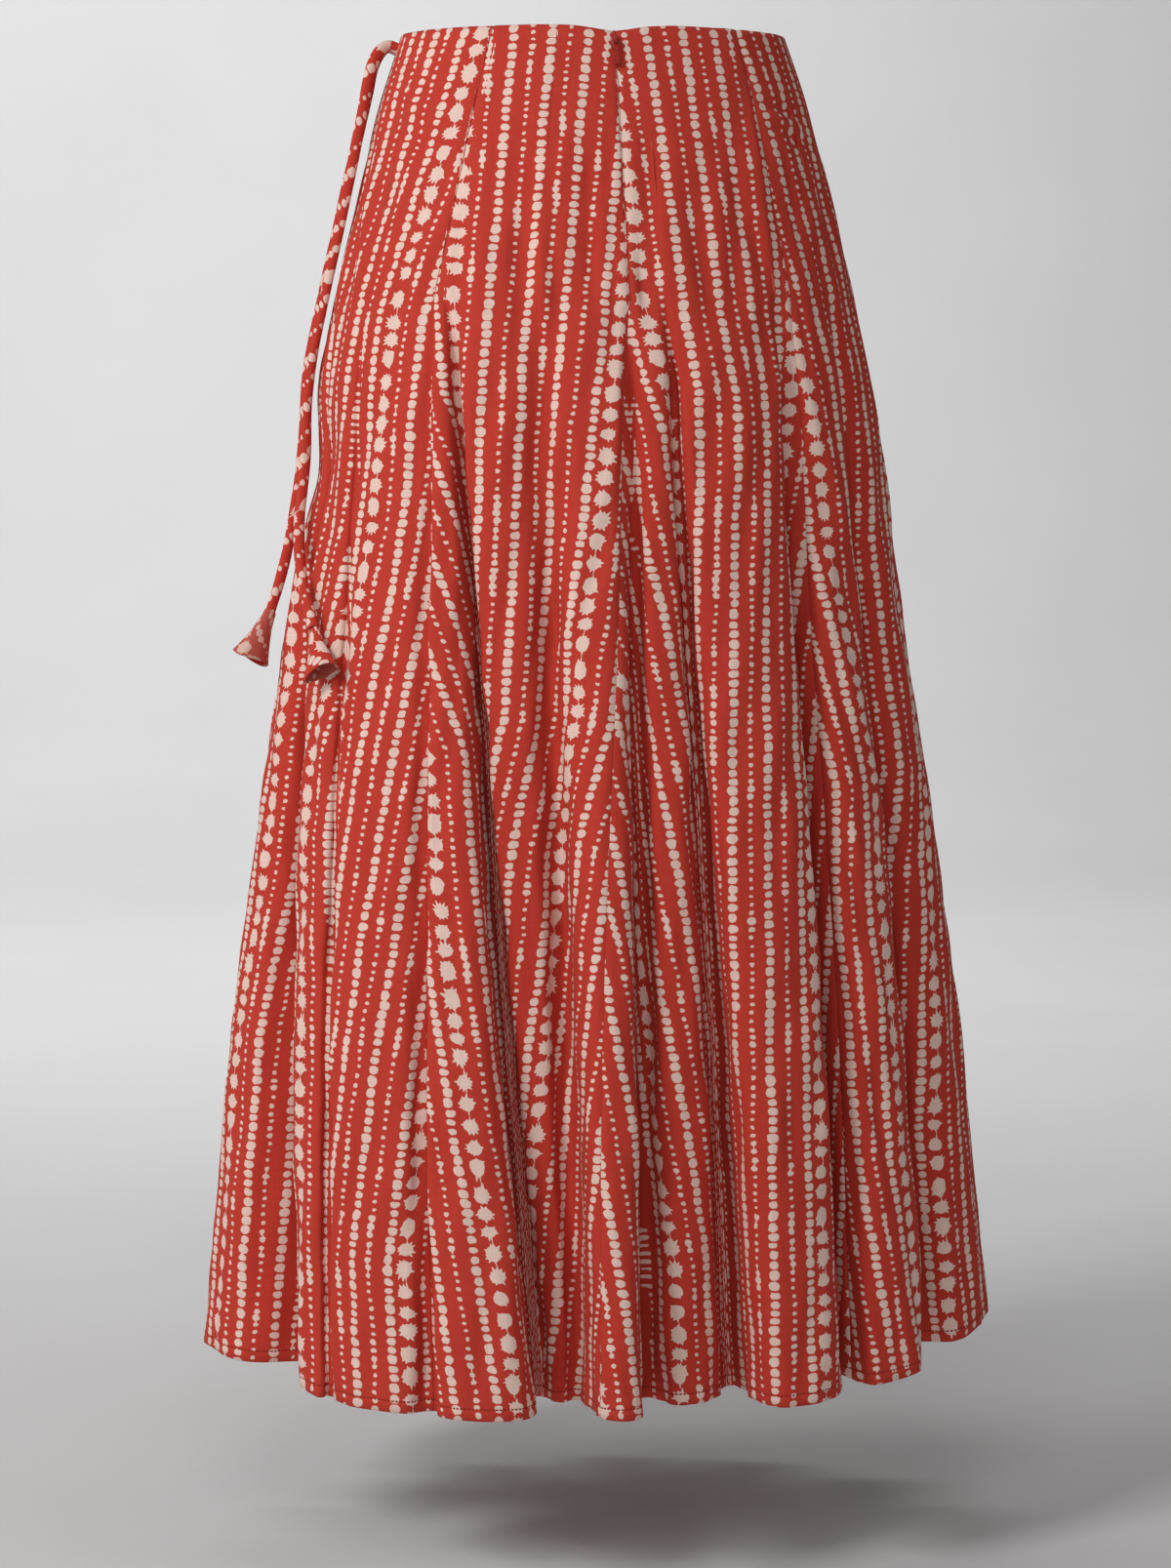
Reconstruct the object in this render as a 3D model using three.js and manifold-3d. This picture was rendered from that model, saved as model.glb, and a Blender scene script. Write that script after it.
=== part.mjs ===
// A long flared skirt of light printed cotton, worn and hollow, seen with its back towards -Y.
// Eight gores, a concealed zip at the centre back, and two fabric ties with flared ends at the left side.
// Millimetres, +Z up, origin at the centre of the waist opening. Angles are degrees round the skirt:
// 0 at the centre back, 90 at the right side (+X), 180 at the centre front, -90 at the left side.

import * as THREE from "three";
import { mergeVertices } from "three/addons/utils/BufferGeometryUtils.js";
import Module from "manifold-3d";

// Driving sizes
const skirtLength = 923; // waist edge to hem at the centre back, straight down
const hipLine = 182; // where the flare is let out at the seams
const wall = 1.4; // cloth with its seam allowances, as a wall
const seamGap = 0.3; // between neighbouring panels
const clearance = 0.3; // between any two pieces that meet
const zipDip = 4; // how far the waist edge drops at the zip
const zipDipWidth = 9; // degrees to each side of the zip over which it drops
const hemLiftRight = 31; // how far the hem rises towards the right side
const hemLiftLeft = 17; // and towards the left side
const hemLiftPower = 4; // high where only the sides themselves rise
const crownShare = 0.14; // how far a fold's shoulders lie below its crown, as a share of its depth
const valleyFloor = 10; // width of a valley's round floor at the hem
const swingPower = 0.8; // folds fan out a little more quickly below the hip than above the hem
const lowFoldPower = 1.4; // a fold that sinks between its neighbours does so more towards the hem
const seamTurn = 0.45; // seams leave their valleys soon below the hip

// Mesh fineness
const rowsAboveHip = 4;
const rowsBelowHip = 14;
const pathSteps = 160; // points along a gore before they are spaced out evenly

// Girth: half the width and half the depth over the folds' crowns, and how far the middle sits back
const sections = [
  { down: 0, halfWidth: 134, halfDepth: 101, back: 0 },
  { down: 47, halfWidth: 149, halfDepth: 114, back: 2 },
  { down: 106, halfWidth: 163, halfDepth: 131, back: 5 },
  { down: 178, halfWidth: 179.5, halfDepth: 148, back: 8 },
  { down: 270, halfWidth: 197, halfDepth: 165, back: 8 },
  { down: 390, halfWidth: 212.5, halfDepth: 180, back: 6 },
  { down: 530, halfWidth: 234.5, halfDepth: 200, back: 4 },
  { down: 700, halfWidth: 259, halfDepth: 221, back: 2 },
  { down: 923, halfWidth: 283, halfDepth: 242, back: 0 },
];

// The left side is drawn in a little between the hip and the first fold
const sideDent = { down: 305, depth: 9, reach: 45, sharpness: 10 };

// Folds, from the left side round the back to the right side and on round the front.
// left and right are a fold's shoulders and dip is the middle of the valley after it, each as an angle
// at the hip and at the hem. sunk is how far the fold's crown lies inside the girth at the hem, and
// depth how far the valley does. grow is low for a valley that opens at once below the hip.
const folds = [
  { name: "left", left: [-98, -86], right: [-87, -68.5], dip: [-85.5, -62], sunk: 0, depth: 58, grow: 0.8 },
  { name: "tuck", left: [-84, -53], right: [-68, -47.5], dip: [-67, -46.3], sunk: 0, depth: 7, grow: 0.6 },
  { name: "crease", left: [-66, -45], right: [-46, -33], dip: [-43.6, -30], sunk: 0, depth: 14, grow: 0.9 },
  { name: "seam", left: [-42.6, -28.5], right: [-41.8, -16], dip: [-40.6, -16.4], sunk: 0, depth: 72, grow: 0.7 },
  { name: "seat", left: [-38, -13.2], right: [-26, -11.2], dip: [-19, -9.6], sunk: 56, depth: 62, grow: 0.8 },
  { name: "centre", left: [-11.5, -5], right: [-2.8, -0.8], dip: [0.6, 3], sunk: 0, depth: 66, grow: 0.8 },
  { name: "low middle", left: [2.8, 6], right: [6.2, 13.2], dip: [8.2, 20.4], sunk: 42, depth: 78, grow: 0.8 },
  { name: "main", left: [10, 20], right: [33.5, 31.5], dip: [36, 39], sunk: 4, depth: 68, grow: 0.7 },
  { name: "right seam", left: [42, 38.5], right: [54, 50.5], dip: [58, 56.5], sunk: 3, depth: 60, grow: 0.8 },
  { name: "right side", left: [62, 60.5], right: [84, 82], dip: [90, 90], sunk: 0, depth: 58, grow: 0.9 },
  { name: "front 1", left: [96, 97], right: [112, 110], dip: [118, 117], sunk: 0, depth: 62, grow: 0.8 },
  { name: "front 2", left: [122, 123], right: [136, 133], dip: [141, 140], sunk: 0, depth: 66, grow: 0.7 },
  { name: "front 3", left: [145, 146], right: [160, 158], dip: [165, 164], sunk: 4, depth: 56, grow: 0.9 },
  { name: "front 4", left: [168, 169], right: [180, 178], dip: [184, 184], sunk: 0, depth: 70, grow: 0.8 },
  { name: "front 5", left: [189, 190], right: [200, 201], dip: [205, 206], sunk: 6, depth: 58, grow: 0.9 },
  { name: "front 6", left: [209, 211], right: [222, 223], dip: [226, 228], sunk: 0, depth: 66, grow: 0.7 },
  { name: "front 7", left: [230, 233], right: [242, 244], dip: [247, 249], sunk: 0, depth: 60, grow: 0.8 },
  { name: "front 8", left: [250, 254], right: [258, 264], dip: [260, 269], sunk: 2, depth: 50, grow: 0.9 },
];

// Seams: angle at the waist, and the place among the folds' points (four to a fold) at hip and hem
const seams = [
  { name: "left side", waist: -90, hip: 0.73, hem: 0.2 },
  { name: "left princess", waist: -37, hip: 10.5, hem: 10.4 },
  { name: "centre back", waist: 0, hip: 22.5, hem: 19.8 },
  { name: "right princess", waist: 41, hip: 31.85, hem: 31.6 },
  { name: "right side", waist: 90, hip: 38.5, hem: 38.4 },
  { name: "front right princess", waist: 139, hip: 46.5, hem: 46.5 },
  { name: "centre front", waist: 180, hip: 53, hem: 53 },
  { name: "front left princess", waist: 221, hip: 61, hem: 61 },
];
const gores = [
  { name: "side_back_left_gore", columns: 22 },
  { name: "back_left_gore", columns: 26 },
  { name: "back_right_gore", columns: 26 },
  { name: "side_back_right_gore", columns: 20 },
  { name: "side_front_right_gore", columns: 17 },
  { name: "front_right_gore", columns: 16 },
  { name: "front_left_gore", columns: 17 },
  { name: "side_front_left_gore", columns: 18 },
];

const printedCotton = new THREE.MeshStandardMaterial({ color: "#be3b2e", roughness: 0.9 });
const tieCotton = new THREE.MeshStandardMaterial({ color: "#a83226", roughness: 0.9 });
const paintedMetal = new THREE.MeshStandardMaterial({ color: "#8e1f1a", roughness: 0.25, metalness: 0.3 });

const radians = THREE.MathUtils.degToRad;
const mix = THREE.MathUtils.lerp;
const turn = 360;
const pointsPerFold = 4;
const foldPoints = folds.length * pointsPerFold;
const hipShare = hipLine / skirtLength;

// A column of the section table at any height, on a smooth curve through its rows
function girth(column, down) {
  const last = sections.length - 1;
  let i = 0;
  while (i < last - 1 && sections[i + 1].down < down) i += 1;
  const rowAt = (k) => sections[Math.min(Math.max(k, 0), last)];
  const slope = (k) =>
    (rowAt(k + 1)[column] - rowAt(k - 1)[column]) / (rowAt(k + 1).down - rowAt(k - 1).down);
  const span = sections[i + 1].down - sections[i].down;
  const f = (down - sections[i].down) / span;
  const start = sections[i][column];
  const rise = sections[i + 1][column] - start;
  const bendIn = slope(i) * span - rise;
  const bendOut = rise - slope(i + 1) * span;
  return start + f * rise + f * (1 - f) * ((1 - f) * bendIn + f * bendOut);
}

// One of the folds' points, unrolled: along is mm round the girth, inset is mm inside it
function foldPoint(index, share, radius) {
  const laps = Math.floor(index / foldPoints);
  const place = index - laps * foldPoints;
  const fold = folds[Math.floor(place / pointsPerFold)];
  const before = folds[(Math.floor(place / pointsPerFold) + folds.length - 1) % folds.length];
  const depth = (f) => f.depth * share ** f.grow;
  const sunk = fold.sunk * share ** lowFoldPower;
  const part = ["left", "right", "dip", "dip"][place % pointsPerFold];
  const [hip, hem] = fold[part];
  const angle = mix(hip, hem, share ** swingPower) + laps * turn;
  const inset = {
    left: sunk + crownShare * Math.max(depth(before) - sunk, 0),
    right: sunk + crownShare * Math.max(depth(fold) - sunk, 0),
    dip: depth(fold),
  }[part];
  const floor = [0, 0, -0.5, 0.5][place % pointsPerFold] * valleyFloor * share ** 0.5;
  return { along: radians(angle) * radius + floor, inset };
}

// A smooth curve through four points in a row, f of the way from the second to the third
function smoothBetween(p, f) {
  const knot = (a, b) => Math.max(Math.hypot(b.along - a.along, b.inset - a.inset) ** 0.5, 1e-4);
  const [d0, d1, d2] = [knot(p[0], p[1]), knot(p[1], p[2]), knot(p[2], p[3])];
  const through = (key) => {
    const [a, b, c, d] = p.map((q) => q[key]);
    const leave = d1 * ((b - a) / d0 - (c - a) / (d0 + d1) + (c - b) / d1);
    const arrive = d1 * ((c - b) / d1 - (d - b) / (d1 + d2) + (d - c) / d2);
    const bend = 3 * (c - b) - 2 * leave - arrive;
    const twist = 2 * (b - c) + leave + arrive;
    return b + f * (leave + f * (bend + f * twist));
  };
  return { along: through("along"), inset: through("inset") };
}

function topEdge(angle) {
  return -zipDip * Math.exp(-((angle / zipDipWidth) ** 2));
}

function hemEdge(angle) {
  const side = Math.sin(radians(angle));
  return -skirtLength + (side > 0 ? hemLiftRight : hemLiftLeft) * side ** hemLiftPower;
}

// A point of the cloth's middle surface; share runs from 0 at the waist to 1 at the hem
function onSkirt(angle, inset, share) {
  const down = share * skirtLength;
  const a = radians(angle);
  const leftness = Math.max(-Math.sin(a), 0) ** sideDent.sharpness;
  const dent = sideDent.depth * leftness * Math.exp(-(((down - sideDent.down) / sideDent.reach) ** 2));
  return new THREE.Vector3(
    (girth("halfWidth", down) - inset - dent) * Math.sin(a),
    -(girth("halfDepth", down) - inset - dent) * Math.cos(a) - girth("back", down),
    mix(topEdge(angle), hemEdge(angle), share),
  );
}

function foldedPoint(place, share) {
  const down = share * skirtLength;
  const radius = (girth("halfWidth", down) + girth("halfDepth", down)) / 2;
  const below = Math.max(share - hipShare, 0) / (1 - hipShare);
  const first = Math.floor(place);
  const four = [-1, 0, 1, 2].map((k) => foldPoint(first + k, below, radius));
  const { along, inset } = smoothBetween(four, place - first);
  return { angle: THREE.MathUtils.radToDeg(along / radius), inset };
}

// Where a seam lies at a height: an angle above the hip, a place among the folds' points below it
function seamAngle(index, share) {
  const laps = Math.floor(index / seams.length);
  const seam = seams[index - laps * seams.length];
  const atHip = foldedPoint(seam.hip, hipShare).angle;
  return mix(seam.waist, atHip, share / hipShare) + laps * turn;
}

function seamPlace(index, share) {
  const laps = Math.floor(index / seams.length);
  const seam = seams[index - laps * seams.length];
  const below = Math.max(share - hipShare, 0) / (1 - hipShare);
  return mix(seam.hip, seam.hem, below ** seamTurn) + laps * foldPoints;
}

// Points spaced evenly along a path, both ends included
function spacedOut(path, count) {
  const along = [0];
  for (let i = 1; i < path.length; i++) along.push(along[i - 1] + path[i].distanceTo(path[i - 1]));
  const total = along[along.length - 1];
  const spaced = [];
  let i = 1;
  for (let k = 0; k <= count; k++) {
    const target = (total * k) / count;
    while (i < path.length - 1 && along[i] < target) i += 1;
    spaced.push(path[i - 1].clone().lerp(path[i], (target - along[i - 1]) / (along[i] - along[i - 1])));
  }
  return spaced;
}

// One row of a gore, from its seam on the left to its seam on the right
function goreRow(gore, share) {
  const path = [];
  for (let k = 0; k <= pathSteps; k++) {
    const f = k / pathSteps;
    if (share <= hipShare) {
      path.push(onSkirt(mix(seamAngle(gore, share), seamAngle(gore + 1, share), f), 0, share));
    } else {
      const place = mix(seamPlace(gore, share), seamPlace(gore + 1, share), f);
      const at = foldedPoint(place, share);
      path.push(onSkirt(at.angle, at.inset, share));
    }
  }
  return spacedOut(path, gores[gore].columns);
}

function rowShares() {
  const shares = [];
  for (let i = 0; i < rowsAboveHip; i++) shares.push((hipShare * i) / rowsAboveHip);
  for (let i = 0; i <= rowsBelowHip; i++) shares.push(mix(hipShare, 1, i / rowsBelowHip));
  return shares;
}

// The whole middle surface as rows of points, closed round the skirt, with the way out at each point
function clothSurface() {
  const rows = rowShares().map((share) => gores.flatMap((_, gore) => goreRow(gore, share).slice(0, -1)));
  const around = rows[0].length;
  const outward = rows.map((row, r) =>
    row.map((_, c) => {
      const across = row[(c + 1) % around].clone().sub(row[(c + around - 1) % around]);
      const up = rows[Math.max(r - 1, 0)][c].clone().sub(rows[Math.min(r + 1, rows.length - 1)][c]);
      return across.cross(up).normalize();
    }),
  );
  return { rows, outward };
}

// A closed wall between an outer and an inner grid of points
function wallGeometry(outer, inner) {
  const rows = outer.length;
  const columns = outer[0].length;
  const positions = [...outer.flat(), ...inner.flat()].flatMap((p) => p.toArray());
  const out = (r, c) => r * columns + c;
  const inn = (r, c) => rows * columns + r * columns + c;
  const index = [];
  const quad = (a, b, c, d) => index.push(a, b, c, a, c, d);
  for (let r = 0; r < rows - 1; r++) {
    for (let c = 0; c < columns - 1; c++) {
      quad(out(r, c), out(r + 1, c), out(r + 1, c + 1), out(r, c + 1));
      quad(inn(r, c), inn(r, c + 1), inn(r + 1, c + 1), inn(r + 1, c));
    }
    quad(out(r, 0), inn(r, 0), inn(r + 1, 0), out(r + 1, 0));
    quad(out(r, columns - 1), out(r + 1, columns - 1), inn(r + 1, columns - 1), inn(r, columns - 1));
  }
  for (let c = 0; c < columns - 1; c++) {
    quad(out(0, c), out(0, c + 1), inn(0, c + 1), inn(0, c));
    quad(out(rows - 1, c), inn(rows - 1, c), inn(rows - 1, c + 1), out(rows - 1, c + 1));
  }
  const geometry = new THREE.BufferGeometry();
  geometry.setAttribute("position", new THREE.Float32BufferAttribute(positions, 3));
  geometry.setIndex(index);
  geometry.computeVertexNormals();
  return geometry;
}

// One gore, trimmed back from its seams by half the gap on each side
function gorePanel(surface, gore) {
  const around = surface.rows[0].length;
  const columns = gores[gore].columns;
  const first = gores.slice(0, gore).reduce((sum, before) => sum + before.columns, 0);
  const trim = (row, edge, inside) => {
    const step = row[inside].clone().sub(row[edge]).setLength(seamGap / 2);
    return row[edge].clone().add(step);
  };
  const side = (offset) =>
    surface.rows.map((row, r) => {
      const points = [];
      for (let k = 0; k <= columns; k++) {
        const c = (first + k) % around;
        let p = row[c].clone();
        if (k === 0) p = trim(row, c, c + 1);
        if (k === columns) p = trim(row, c, (c + around - 1) % around);
        points.push(p.addScaledVector(surface.outward[r][c], offset));
      }
      return points;
    });
  const mesh = new THREE.Mesh(wallGeometry(side(wall / 2), side(-wall / 2)), printedCotton);
  mesh.name = gores[gore].name;
  return mesh;
}

// Ties: tubes of bias-cut cloth. The routes are points chosen by hand, from the left side seam down.
const tieWidth = 7;
const tieSides = 8;
const tieStep = 18;
const tieRoutes = {
  rear: [
    [-138.3, -4, -9], [-143.5, -4.1, -7.3], [-150, -7, -11], [-155, -9, -20], [-158.5, -10, -32],
    [-162, -11, -50], [-168, -11, -80], [-176, -9, -120], [-184, -6, -155], [-191, -4.5, -190],
    [-197.5, -7, -220], [-202, -11, -255], [-204, -15, -290], [-206.5, -21, -312], [-209.5, -31, -335],
    [-210.5, -47, -358], [-209, -64, -378], [-206, -79, -395], [-204, -87, -406],
  ],
  front: [
    [-138.35, 6, -10], [-143.6, 6.3, -8.3], [-149.5, 5, -14], [-154, 4, -24], [-157, 3, -38],
    [-163, 2, -64], [-172, 2, -100], [-181, 4, -140], [-189, 6, -178], [-196, 5, -208],
    [-201.5, 3, -240], [-204.5, 0, -275], [-207.5, -3, -305], [-212, -7, -330], [-216, -10, -353],
    [-222, -13, -376], [-229, -15, -398],
  ],
};

function routeCurve(route) {
  return new THREE.CatmullRomCurve3(route.map((p) => new THREE.Vector3(...p)), false, "centripetal");
}

function tieCord(name, route) {
  const section = new THREE.Shape();
  section.absarc(0, 0, tieWidth / 2, 0, 2 * Math.PI, false);
  const curve = routeCurve(route);
  const geometry = new THREE.ExtrudeGeometry(section, {
    extrudePath: curve,
    steps: Math.round(curve.getLength() / tieStep),
    curveSegments: tieSides / 2,
  });
  const mesh = new THREE.Mesh(geometry, tieCotton);
  mesh.name = name;
  return mesh;
}

// The flared fabric bell sewn on a tie's end, hollow and open at its mouth
const bell = { length: 36, neck: 4.2, mouth: 15, cloth: 1.4, sides: 20, flatness: 0.62, gap: 0.4 };

// down is the way its mouth faces and flat the way it is pressed flat
function tieBell(name, route, down, flat) {
  const profile = [
    [0, 0],
    [bell.neck, 0],
    [bell.neck * 1.25, -bell.length * 0.3],
    [bell.mouth, -bell.length],
    [bell.mouth - bell.cloth, -bell.length],
    [bell.neck * 1.25 - bell.cloth, -bell.length * 0.32],
    [0, -bell.length * 0.18],
  ];
  const geometry = new THREE.LatheGeometry(
    profile.map(([r, z]) => new THREE.Vector2(r, z)).reverse(),
    bell.sides,
  );
  geometry.rotateX(Math.PI / 2);
  geometry.scale(1, bell.flatness, 1);
  const up = new THREE.Vector3(...down).normalize().negate();
  const across = new THREE.Vector3(...flat).cross(up).normalize();
  const placed = new THREE.Matrix4().makeBasis(across, up.clone().cross(across), up);
  placed.setPosition(routeCurve(route).getPoint(1).addScaledVector(up, -bell.gap));
  geometry.applyMatrix4(placed);
  const mesh = new THREE.Mesh(geometry, tieCotton);
  mesh.name = name;
  return mesh;
}

// The zip's slider with its bow, and the teardrop pull that swings in the bow
const zip = {
  pivotDown: 8, // below the level of the waist
  plateWidth: 4.6,
  plateLength: 8,
  plateDepth: 1.2,
  bowInner: 1.6,
  bowOuter: 2.7,
  bowWidth: 1.2,
  pivotOut: 1.5, // from the plate's face to the swing axis
  pullLength: 18,
  pullWidth: 4.7,
  pullNeck: 3.8,
  pullThick: 1.2,
  slotWidth: 2,
  slotEnd: 3.5,
  barHalf: 0.6,
};

function solidFrom(wasm, geometry) {
  const plain = geometry.clone();
  plain.deleteAttribute("normal");
  plain.deleteAttribute("uv");
  const merged = mergeVertices(plain);
  return new wasm.Manifold(
    new wasm.Mesh({
      numProp: 3,
      vertProperties: merged.attributes.position.array,
      triVerts: new Uint32Array(merged.index.array),
    }),
  );
}

function geometryFrom(solid) {
  const mesh = solid.getMesh();
  const geometry = new THREE.BufferGeometry();
  geometry.setAttribute("position", new THREE.BufferAttribute(mesh.vertProperties, 3));
  geometry.setIndex(new THREE.BufferAttribute(mesh.triVerts, 1));
  geometry.computeVertexNormals();
  return geometry;
}

// In the zip's own axes X runs across, Z up along the cloth, -Y out from it, the swing axis at zero
function zipSlider(wasm) {
  const face = zip.pivotOut;
  const plate = new THREE.BoxGeometry(zip.plateWidth, zip.plateDepth, zip.plateLength);
  plate.translate(0, face + zip.plateDepth / 2, 0);
  const bowShape = new THREE.Shape();
  const root = face + zip.plateDepth / 2;
  bowShape.moveTo(-root, -zip.bowOuter);
  bowShape.lineTo(0, -zip.bowOuter);
  bowShape.absarc(0, 0, zip.bowOuter, -Math.PI / 2, Math.PI / 2, false);
  bowShape.lineTo(-root, zip.bowOuter);
  bowShape.lineTo(-root, zip.bowInner);
  bowShape.lineTo(0, zip.bowInner);
  bowShape.absarc(0, 0, zip.bowInner, Math.PI / 2, -Math.PI / 2, true);
  bowShape.lineTo(-root, -zip.bowInner);
  const bow = new THREE.ExtrudeGeometry(bowShape, {
    depth: zip.bowWidth,
    bevelEnabled: false,
    curveSegments: 10,
  });
  bow.translate(0, 0, -zip.bowWidth / 2);
  bow.applyMatrix4(new THREE.Matrix4().makeBasis(
    new THREE.Vector3(0, -1, 0), new THREE.Vector3(0, 0, 1), new THREE.Vector3(-1, 0, 0),
  ));
  const slider = solidFrom(wasm, plate).add(solidFrom(wasm, bow));
  const mesh = new THREE.Mesh(geometryFrom(slider), paintedMetal);
  mesh.name = "zip_slider";
  return mesh;
}

function zipPull() {
  const outline = new THREE.Shape();
  const round = zip.pullWidth / 2;
  const tip = zip.barHalf - zip.pullLength;
  outline.moveTo(-zip.pullNeck / 2, zip.barHalf);
  outline.lineTo(-zip.pullNeck / 2, -zip.slotEnd - zip.barHalf);
  outline.bezierCurveTo(-zip.pullNeck / 2 + 0.5, tip * 0.45, -round, tip * 0.5, -round, tip + round);
  outline.absarc(0, tip + round, round, Math.PI, 2 * Math.PI, false);
  const shoulder = -zip.slotEnd - zip.barHalf;
  outline.bezierCurveTo(round, tip * 0.5, zip.pullNeck / 2 - 0.5, tip * 0.45, zip.pullNeck / 2, shoulder);
  outline.lineTo(zip.pullNeck / 2, zip.barHalf);
  const slot = new THREE.Path();
  slot.moveTo(-zip.slotWidth / 2, -zip.barHalf);
  slot.lineTo(zip.slotWidth / 2, -zip.barHalf);
  slot.lineTo(zip.slotWidth / 2, -zip.slotEnd);
  slot.lineTo(-zip.slotWidth / 2, -zip.slotEnd);
  outline.holes.push(slot);
  const geometry = new THREE.ExtrudeGeometry(outline, {
    depth: zip.pullThick,
    bevelEnabled: false,
    curveSegments: 8,
  });
  geometry.translate(0, 0, -zip.pullThick / 2);
  geometry.rotateX(Math.PI / 2);
  const mesh = new THREE.Mesh(geometry, paintedMetal);
  mesh.name = "zip_pull";
  return mesh;
}

// The zip's pieces turned to lie along the cloth at the centre back
function zipAtBack(wasm) {
  const share = zip.pivotDown / skirtLength;
  const here = onSkirt(0, 0, share);
  const below = onSkirt(0, 0, 2 * share);
  const slope = Math.atan2(here.y - below.y, here.z - below.z);
  const group = new THREE.Group();
  group.rotation.x = -slope;
  const out = wall / 2 + clearance + zip.plateDepth + zip.pivotOut;
  group.position.set(0, here.y - out * Math.cos(slope), here.z + out * Math.sin(slope));
  group.add(zipSlider(wasm), zipPull());
  return group;
}

const wasm = await Module();
wasm.setup();

const skirt = new THREE.Group();
const surface = clothSurface();
gores.forEach((_, gore) => skirt.add(gorePanel(surface, gore)));
skirt.add(tieCord("tie_rear", tieRoutes.rear));
skirt.add(tieCord("tie_front", tieRoutes.front));
skirt.add(tieBell("tie_bell_rear", tieRoutes.rear, [0.12, -0.56, -0.82], [-0.55, -0.8, 0]));
skirt.add(tieBell("tie_bell_front", tieRoutes.front, [-0.4, -0.1, -0.9], [-0.6, 0.8, 0]));
skirt.add(zipAtBack(wasm));

export default skirt;
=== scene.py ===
import math

import bmesh
import bpy
import numpy as np
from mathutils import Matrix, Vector


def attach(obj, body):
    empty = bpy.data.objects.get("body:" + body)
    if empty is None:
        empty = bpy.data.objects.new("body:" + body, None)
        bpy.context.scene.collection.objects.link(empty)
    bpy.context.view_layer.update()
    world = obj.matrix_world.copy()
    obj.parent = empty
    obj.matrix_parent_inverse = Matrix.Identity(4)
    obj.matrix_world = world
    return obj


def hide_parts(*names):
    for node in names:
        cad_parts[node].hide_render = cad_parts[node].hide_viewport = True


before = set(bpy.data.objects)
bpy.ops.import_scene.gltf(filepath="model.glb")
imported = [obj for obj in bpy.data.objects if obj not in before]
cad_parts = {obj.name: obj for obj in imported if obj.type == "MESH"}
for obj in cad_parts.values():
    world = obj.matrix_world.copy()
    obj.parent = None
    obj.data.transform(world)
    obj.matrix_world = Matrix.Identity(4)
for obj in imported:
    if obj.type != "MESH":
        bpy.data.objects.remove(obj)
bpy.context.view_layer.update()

# Camera behind the skirt at hip height, a little to the left and looking slightly down
camera = {
    "distance": 2.8,  # metres from the skirt's axis
    "azimuth": -8,  # degrees round the skirt
    "height": -0.26,  # from the waist
    "tiltDown": 5.36,
    "turnLeft": 0.113,
    "focalLength": 90.9,
    "sensor": 36,
}


def buildCamera():
    data = bpy.data.cameras.new("camera")
    data.lens = camera["focalLength"]
    data.sensor_width = camera["sensor"]
    around = math.radians(camera["azimuth"])
    obj = bpy.data.objects.new("camera", data)
    obj.location = (
        camera["distance"] * math.sin(around),
        -camera["distance"] * math.cos(around),
        camera["height"],
    )
    turned = around + math.radians(camera["turnLeft"])
    obj.rotation_euler = (math.radians(90 - camera["tiltDown"]), 0, turned)
    bpy.context.scene.collection.objects.link(obj)
    bpy.context.scene.camera = obj


buildCamera()
print("camera placed")


# Materials


def linearColour(code):
    # a screen colour's code as the linear values that materials take
    channels = [int(code[i : i + 2], 16) / 255 for i in (1, 3, 5)]
    return [c / 12.92 if c <= 0.04045 else ((c + 0.055) / 1.055) ** 2.4 for c in channels] + [1.0]


def feed(tree, socket, value):
    # joins a node's output to a socket, or sets the socket's own value
    if isinstance(value, bpy.types.Node):
        value = value.outputs[0]
    if isinstance(value, bpy.types.NodeSocket):
        tree.links.new(value, socket)
    elif value is not None:
        socket.default_value = value


def put(tree, kind, settings=None, *inputs):
    # adds one node: settings are its options, inputs go to its sockets in order or by (name, value)
    node = tree.nodes.new("ShaderNode" + kind)
    for key, value in (settings or {}).items():
        setattr(node, key, value)
    for i, given in enumerate(inputs):
        socket, value = given if isinstance(given, tuple) else (i, given)
        feed(tree, node.inputs[socket], value)
    return node


def mathsOf(tree):
    # a maker of maths nodes in this tree
    return lambda operation, *values: put(tree, "Math", {"operation": operation}, *values)


def vectorAt(tree, x, y, z=0.0):
    return put(tree, "CombineXYZ", None, x, y, z)


def noiseAt(tree, at, scale, detail):
    return put(tree, "TexNoise", None, ("Vector", at), ("Scale", scale), ("Detail", detail))


def mapped(tree, value, low, high, atLow, atHigh, curve="LINEAR"):
    return put(tree, "MapRange", {"interpolation_type": curve}, value, low, high, atLow, atHigh)


def mixed(tree, share, first, second):
    # a colour between two
    mix = put(tree, "Mix", {"data_type": "RGBA"})
    for i, value in ((0, share), (6, first), (7, second)):
        feed(tree, mix.inputs[i], value)
    return mix.outputs[2]


def newMaterial(name):
    material = bpy.data.materials.new(name)
    material.use_nodes = True
    return material, material.node_tree, material.node_tree.nodes["Principled BSDF"]


# The print's sizes in millimetres: one column of stars, then eight of dots, small and medium in turn
printing = {
    "columnPitch": 12.9,
    "columnsPerRepeat": 9,
    "wander": 1.6,  # how far a column strays sideways
    "wanderLength": 60.0,
    "offset": 1.1,  # how far whole columns lie off their even places
    "mediumHalf": 3.1,
    "smallHalf": 1.45,
    "starHalf": 5.6,
    "mediumPitch": 6.5,
    "smallPitch": 5.5,
    "starPitch": 14.2,
    "drift": 1.3,  # how far the marks run early or late, in pitches
    "driftLength": 31.0,
    "softEdge": 0.14,
    "farOff": 9.0,  # so far off that a shape doesn't show
}
# Hand-cut edges: how fine the slow and the quick shake of a place are, and how far they go
shake = {"slow": 0.22, "quick": 0.8, "dotSlow": 1.9, "dotQuick": 0.75, "starSlow": 1.6, "starQuick": 0.0}
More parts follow.
